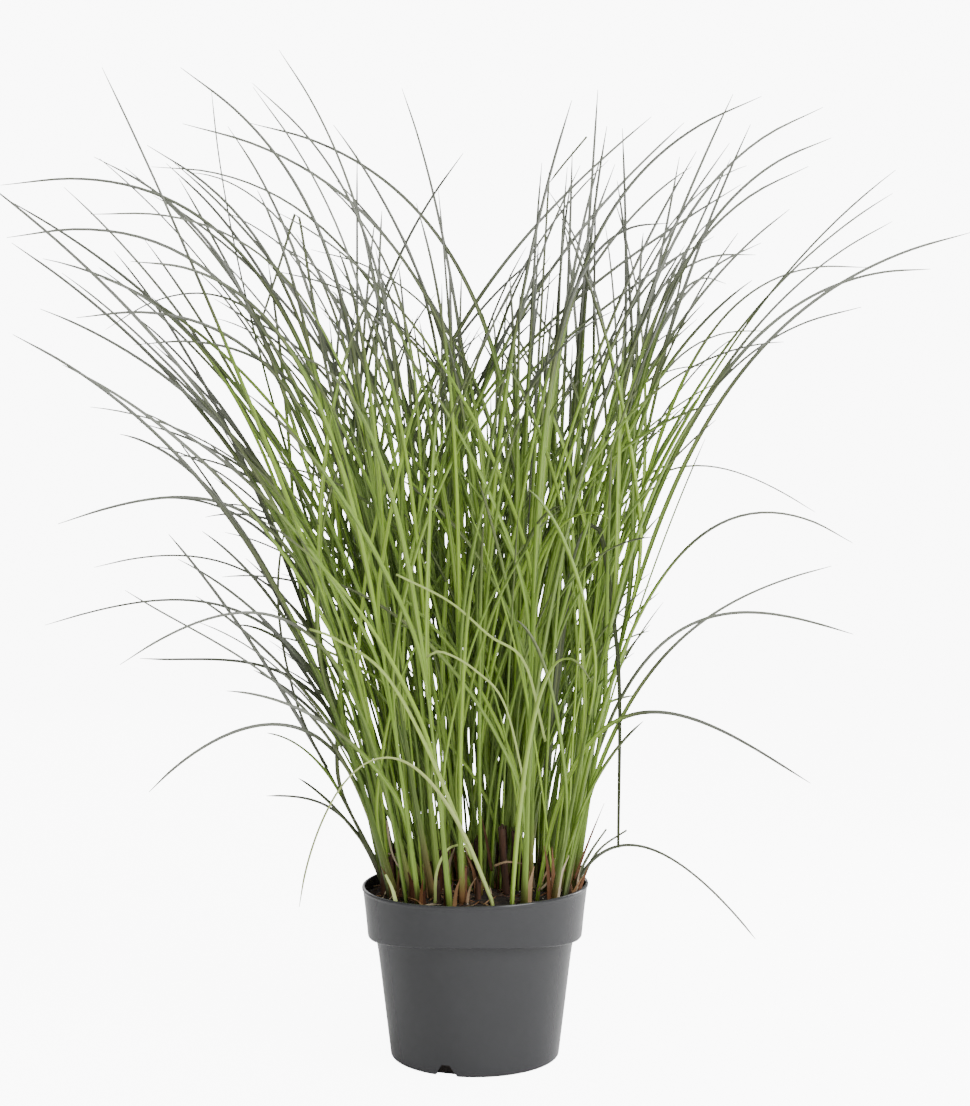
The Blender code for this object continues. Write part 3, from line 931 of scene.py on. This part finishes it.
def add_cane(bundle, root, height, radius, rng, tone):
    """Broken hollow cane: ragged rim, sunken core."""
    lean = leaning(rng.uniform(0.0, 0.16), rng.uniform(0.0, math.tau))
    jag = [rng.uniform(-0.0045, 0.0025) for _ in range(CANE_SIDES)]
    verts = []
    for number, (share, scale) in enumerate(CANE_LEVELS):
        for side in range(CANE_SIDES):
            angle = math.tau * side / CANE_SIDES
            lift = jag[side] if number in RAGGED_LEVELS else 0.0
            swell = radius * scale * (1.0 + 0.10 * math.sin(3 * angle + 9.0 * share))
            spot = root + lean * (height * share + lift)
            out = np.array((swell * math.cos(angle), 0.8 * swell * math.sin(angle), 0.0))
            verts.append(spot + out)
    bundle.add(np.array(verts), ring_faces(len(CANE_LEVELS), CANE_SIDES), seed=tone)


def make_canes(material):
    """Each CAD stub as a ragged cane of its own, then the loose canes round them."""
    rng = random.Random(CANE_SEED)
    for node in frame_nodes("stub_"):
        low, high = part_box(node)
        root = np.array(((low[0] + high[0]) / 2, (low[1] + high[1]) / 2, SOIL_TOP - CANE_DEPTH))
        height = high[2] - root[2] - 0.002
        radius = (high[0] - low[0]) * 0.45
        tone = rng.uniform(0.05, 0.6)
        bundle = Bundle()
        add_cane(bundle, root, height, radius, rng, tone)
        piece = bundle.build(f"{node}_cane", material)
        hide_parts(node)
    bundle = Bundle()
    for x, y, height, radius, tone in BROKEN_CANES:
        root = np.array((0.01 * x, 0.01 * y, SOIL_TOP - CANE_DEPTH))
        add_cane(bundle, root, 0.01 * height, 0.01 * radius, rng, tone)
    bundle.build("broken_canes", material)


def make_lone_leaves(material):
    """Each single leaf that stands out, as a piece of its own."""
    taper = np.interp(np.linspace(0.0, 1.0, LONE_RINGS), (0.0, 0.3, 1.0), (1.0, 1.0, 0.6))
    facing = unit(np.array(LONE_FACING))
    fold = np.full(LONE_RINGS, 0.45)
    for name, half_width, age, pale, points in LONE_LEAVES:
        route = smooth_route(0.01 * np.array(points), LONE_RINGS)
        bundle = Bundle()
        widths = np.maximum(0.001 * half_width * taper, 0.0009)
        verts, faces, across = blade_shape(route, widths, facing, 0.4, fold)
        bundle.add(verts, faces, across=across, age=age, pale=pale, seed=0.2)
        bundle.build(name, material)


def make_litter(material):
    """Dry strands of the foot, and loose fibres lying on the compost."""
    rng = random.Random(LITTER_SEED)
    bundle = Bundle()
    for half_width, tone, points in DRY_STRANDS:
        add_strip(bundle, 0.01 * np.array(points), 0.001 * half_width, foot=1.0, seed=tone)
    for _ in range(FIBRES):
        x, y = disc_spot(rng, FIBRE_START_RADIUS)
        start = np.array((x, y, soil_height(x, y)))
        heading = rng.uniform(0.0, math.tau)
        lean = rng.uniform(0.9, 1.65)
        length = rng.uniform(0.004, 0.020)
        middle = start + leaning(lean, heading) * length * 0.5
        end = middle + leaning(lean + 0.3, heading + rng.uniform(-0.8, 0.8)) * length * 0.5
        points = np.array((start - 0.0006 * UP, middle, end))
        if np.hypot(points[:, 0], points[:, 1]).max() < FIBRE_END_RADIUS:
            half_width = rng.uniform(0.0003, 0.0010)
            add_strip(bundle, points, half_width, rings=8, foot=1.0, seed=rng.random())
    bundle.build("dry_strands", material)


# --------------------------------------------------------------------- pot

def straight_run(start, end, steps):
    """Points from one step past the start as far as the end."""
    shares = [step / steps for step in range(1, steps + 1)]
    return [tuple(a + (b - a) * share for a, b in zip(start, end)) for share in shares]


def rounded_edge(radius, height, steps):
    """Quarter round that turns the wall in under its lower edge."""
    points = []
    for step in range(1, steps + 1):
        angle = math.pi / 2 * step / steps
        points.append((radius - EDGE_ROUND * (1 - math.cos(angle)),
                       height + EDGE_ROUND * (1 - math.sin(angle))))
    return points


def pot_profile():
    """Fine section of the shell: down the outside, across the base, up the inside."""
    outside = [(RIM_RADIUS - inset, POT_HEIGHT - drop) for inset, drop in LIP]
    outside += straight_run(outside[-1], (COLLAR_FOOT_RADIUS, COLLAR_FOOT + EDGE_ROUND), 8)
    outside += rounded_edge(COLLAR_FOOT_RADIUS, COLLAR_FOOT, 5)
    outside += [(BODY_TOP_RADIUS + out, COLLAR_FOOT - drop) for out, drop in UNDERCUT]
    outside += straight_run(outside[-1], (BASE_RADIUS, EDGE_ROUND), 16)
    outside += rounded_edge(BASE_RADIUS, 0.0, 4)
    inside = [
        (0.0, 0.0), (0.0, WALL), (BASE_RADIUS - 0.0036, WALL),
        (BODY_TOP_RADIUS - WALL, COLLAR_FOOT - 0.001),
        (COLLAR_FOOT_RADIUS - 0.003, COLLAR_FOOT + 0.0012),
        (COLLAR_FOOT_RADIUS - WALL, COLLAR_FOOT + 0.004),
        (RIM_RADIUS - 0.0028, POT_HEIGHT - 0.004), (RIM_RADIUS - 0.0024, POT_HEIGHT - 0.0005),
    ]
    return outside + inside


def warped(x, y, z):
    """Slight out-of-true of a thin moulded pot, strongest at the rim."""
    angle = math.atan2(y, x)
    rim = max(0.0, (z - COLLAR_FOOT) / COLLAR_HEIGHT)
    near_foot = math.exp(-((z - COLLAR_FOOT) / FOOT_BAND) ** 2)
    lift = RIM_RISE * rim * math.cos(angle - 0.3) - FOOT_WAVE * near_foot * math.cos(2.0 * angle)
    swell = 1.0 + RIM_SWELL * rim * math.cos(3.0 * angle + 0.8)
    return x * swell, y * swell, z + lift


def notch_cutters():
    """Wedges for the drainage notches at the foot of the wall."""
    cutters = []
    for index in range(NOTCHES):
        bm = bmesh.new()
        bmesh.ops.create_cube(bm, size=1.0)
        for vert in bm.verts:
            high = vert.co.z > 0.0
            vert.co.y *= NOTCH_TOP_WIDTH if high else NOTCH_FOOT_WIDTH
            vert.co.x *= NOTCH_DEPTH
            vert.co.z = NOTCH_TOP if high else NOTCH_BOTTOM
        mesh = bpy.data.meshes.new("notch_cutter")
        bm.to_mesh(mesh)
        bm.free()
        cutter = bpy.data.objects.new("notch_cutter", mesh)
        bpy.context.scene.collection.objects.link(cutter)
        angle = math.radians(FIRST_NOTCH_ANGLE) + index * math.tau / NOTCHES
        cutter.location = (BASE_RADIUS * math.cos(angle), BASE_RADIUS * math.sin(angle), 0.0)
        cutter.rotation_euler.z = angle
        cutters.append(cutter)
    return cutters


def make_pot(material):
    """Turned shell, warped a little, with the drainage notches cut out."""
    bm = bmesh.new()
    verts = [bm.verts.new((radius, 0.0, height)) for radius, height in pot_profile()]
    edges = [bm.edges.new(pair) for pair in zip(verts, verts[1:] + verts[:1])]
    bmesh.ops.spin(bm, geom=verts + edges, axis=(0, 0, 1), cent=(0, 0, 0), angle=math.tau,
                   steps=SEGMENTS, use_merge=True)
    bmesh.ops.remove_doubles(bm, verts=bm.verts, dist=WELD_DISTANCE)
    bmesh.ops.recalc_face_normals(bm, faces=bm.faces)
    for vert in bm.verts:
        vert.co = warped(*vert.co)
    mesh = bpy.data.meshes.new("pot_shell")
    bm.to_mesh(mesh)
    bm.free()
    shell = bpy.data.objects.new("pot_shell_raw", mesh)
    bpy.context.scene.collection.objects.link(shell)
    cutters = notch_cutters()
    for cutter in cutters:
        cut = shell.modifiers.new("notch", "BOOLEAN")
        cut.object = cutter
        cut.operation = "DIFFERENCE"
    graph = bpy.context.evaluated_depsgraph_get()
    final = bpy.data.meshes.new_from_object(shell.evaluated_get(graph))
    for item in [shell] + cutters:
        bpy.data.objects.remove(item)
    final.shade_smooth()
    final.set_sharp_from_angle(angle=math.radians(SHARP_ANGLE))
    final.materials.clear()
    piece = place("nursery_pot", final, material)
    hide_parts("pot")


# -------------------------------------------------------------------- soil

def soil_height(x, y):
    """Height of the compost: a low crown that drops at the wall, lumps and grit."""
    reach = min(1.0, math.hypot(x, y) / SOIL_RADIUS)
    spot = Vector((x, y, 0.0))
    lumps = noise.noise(spot * 70.0) * 0.0022 + noise.noise(spot * 210.0) * 0.0012
    grit = noise.noise(spot * 600.0) * 0.0006
    return SOIL_TOP + SOIL_CROWN * (1.0 - reach**2) - SOIL_CROWN * reach**6 + lumps + grit


def make_soil(material):
    """Lumpy disc on top of a plain plug that fills the pot."""
    sides = SOIL_SIDES
    turns = [(math.cos(math.tau * side / sides), math.sin(math.tau * side / sides))
             for side in range(sides)]
    verts = [(0.0, 0.0, soil_height(0.0, 0.0))]
    for ring in range(1, SOIL_RINGS + 1):
        radius = SOIL_RADIUS * ring / SOIL_RINGS
        verts += [(radius * x, radius * y, soil_height(radius * x, radius * y)) for x, y in turns]
    for radius, height in SOIL_PLUG:
        verts += [warped(radius * x, radius * y, height) for x, y in turns]
    faces = [(0, 1 + side, 1 + (side + 1) % sides) for side in range(sides)]
    bands = SOIL_RINGS + len(SOIL_PLUG) - 1
    for band in range(bands):
        for side in range(sides):
            a = 1 + band * sides + side
            b = 1 + band * sides + (side + 1) % sides
            faces.append((a, a + sides, b + sides, b))
    last = 1 + bands * sides
    faces.append(tuple(reversed(range(last, last + sides))))
    mesh = bpy.data.meshes.new("compost_body")
    mesh.from_pydata(verts, [], faces)
    mesh.shade_smooth()
    piece = place("compost_body", mesh, material)
    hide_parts("soil")


def scatter_bits(name, count, size, flat, material, seed):
    """Angular bits pressed into the compost: squashed, roughened icospheres."""
    rng = random.Random(seed)
    bm = bmesh.new()
    for _ in range(count):
        x, y = disc_spot(rng, BITS_RADIUS)
        made = bmesh.ops.create_icosphere(bm, subdivisions=1, radius=1.0)["verts"]
        scale = rng.uniform(*size)
        stretch = (scale * rng.uniform(0.7, 1.9), scale, scale * flat * rng.uniform(0.6, 1.3))
        spin = rng.uniform(0.0, math.tau)
        tilt = rng.uniform(-0.5, 0.5)
        for vert in made:
            px, py, pz = (vert.co[i] * stretch[i] * rng.uniform(0.75, 1.15) for i in range(3))
            px, pz = (px * math.cos(tilt) - pz * math.sin(tilt),
                      px * math.sin(tilt) + pz * math.cos(tilt))
            vert.co = (x + px * math.cos(spin) - py * math.sin(spin),
                       y + px * math.sin(spin) + py * math.cos(spin),
                       soil_height(x, y) + pz + stretch[2] * 0.3)
    mesh = bpy.data.meshes.new(name)
    bm.to_mesh(mesh)
    bm.free()
    place(name, mesh, material)


# ------------------------------------------------------------------- stage

def camera_glow(nodes, links, otherwise):
    """Strength that is bright to the camera and weak to every other ray."""
    seen = nodes.new("ShaderNodeLightPath").outputs["Is Camera Ray"]
    return math_node(nodes, links, "MULTIPLY_ADD", seen, SWEEP_GLOW, otherwise)


def make_stage():
    """Pale sweep: a floor that curves up behind into a backdrop."""
    profile = [(SWEEP_FRONT, 0.0), (SWEEP_BACK, 0.0)]
    for step in range(1, SWEEP_BEND_STEPS + 1):
        angle = math.pi / 2 * step / SWEEP_BEND_STEPS
        profile.append((SWEEP_BACK + SWEEP_BEND * math.sin(angle),
                        SWEEP_BEND * (1 - math.cos(angle))))
    profile.append((SWEEP_BACK + SWEEP_BEND, SWEEP_TOP))
    verts = []
    for y, z in profile:
        verts += [(-SWEEP_HALF_WIDTH, y, z), (SWEEP_HALF_WIDTH, y, z)]
    faces = [(2 * i, 2 * i + 1, 2 * i + 3, 2 * i + 2) for i in range(len(profile) - 1)]
    mesh = bpy.data.meshes.new("studio_sweep")
    mesh.from_pydata(verts, [], faces)
    mesh.shade_smooth()
    sweep = bpy.data.objects.new("studio_sweep", mesh)
    bpy.context.scene.collection.objects.link(sweep)
    material, nodes, links, shader = new_material("studio_white", (0.90, 0.90, 0.90), 0.9)
    shader.inputs["Specular IOR Level"].default_value = 0.0
    shader.inputs["Emission Color"].default_value = (1.0, 1.0, 1.0, 1.0)
    links.new(camera_glow(nodes, links, SWEEP_BOUNCE), shader.inputs["Emission Strength"])
    mesh.materials.append(material)


def add_lamp(name, spot, aim_height, size, watts):
    """Rectangular area lamp turned to the pot's axis."""
    data = bpy.data.lights.new(name, "AREA")
    data.shape = "RECTANGLE"
    data.size, data.size_y = size
    data.energy = watts
    lamp = bpy.data.objects.new(name, data)
    lamp.location = spot
    aim = Vector((0.0, 0.0, aim_height)) - Vector(spot)
    lamp.rotation_euler = aim.to_track_quat("-Z", "Y").to_euler()
    bpy.context.scene.collection.objects.link(lamp)


def make_lights():
    for lamp in LAMPS:
        add_lamp(*lamp)
    world = bpy.data.worlds.new("studio")
    world.use_nodes = True
    nodes, links = world.node_tree.nodes, world.node_tree.links
    background = nodes["Background"]
    background.inputs["Color"].default_value = (1.0, 1.0, 1.0, 1.0)
    links.new(camera_glow(nodes, links, WORLD_GLOW), background.inputs["Strength"])
    bpy.context.scene.world = world


def make_camera():
    """58 mm lens, a metre and a half in front, at clump height and tipped just down."""
    data = bpy.data.cameras.new("camera")
    data.lens = CAMERA_LENS
    data.sensor_width = 36.0
    data.clip_end = 50.0
    camera = bpy.data.objects.new("camera", data)
    camera.location = CAMERA_PLACE
    camera.rotation_euler = (math.radians(90.0 - CAMERA_DIP), 0.0, 0.0)
    bpy.context.scene.collection.objects.link(camera)
    bpy.context.scene.camera = camera


def main():
    blade = blade_material()
    make_pot(pot_material())
    make_soil(soil_material())
    bark = crumb_material("bark", (0.03, 0.016, 0.009), (0.09, 0.05, 0.028))
    scatter_bits("bark_bits", 420, (0.0008, 0.0024), 0.5, bark, BARK_SEED)
    perlite = crumb_material("perlite", (0.35, 0.31, 0.25), (0.6, 0.56, 0.5))
    scatter_bits("pale_grains", 60, (0.0005, 0.0011), 0.8, perlite, PERLITE_SEED)
    roots = make_cad_shoots(blade)
    make_side_leaves(blade)
    make_extra_shoots(blade, roots)
    make_fine_blades(blade)
    make_canes(dead_material())
    make_lone_leaves(blade)
    make_litter(blade)
    make_camera()
    make_lights()
    make_stage()


main()
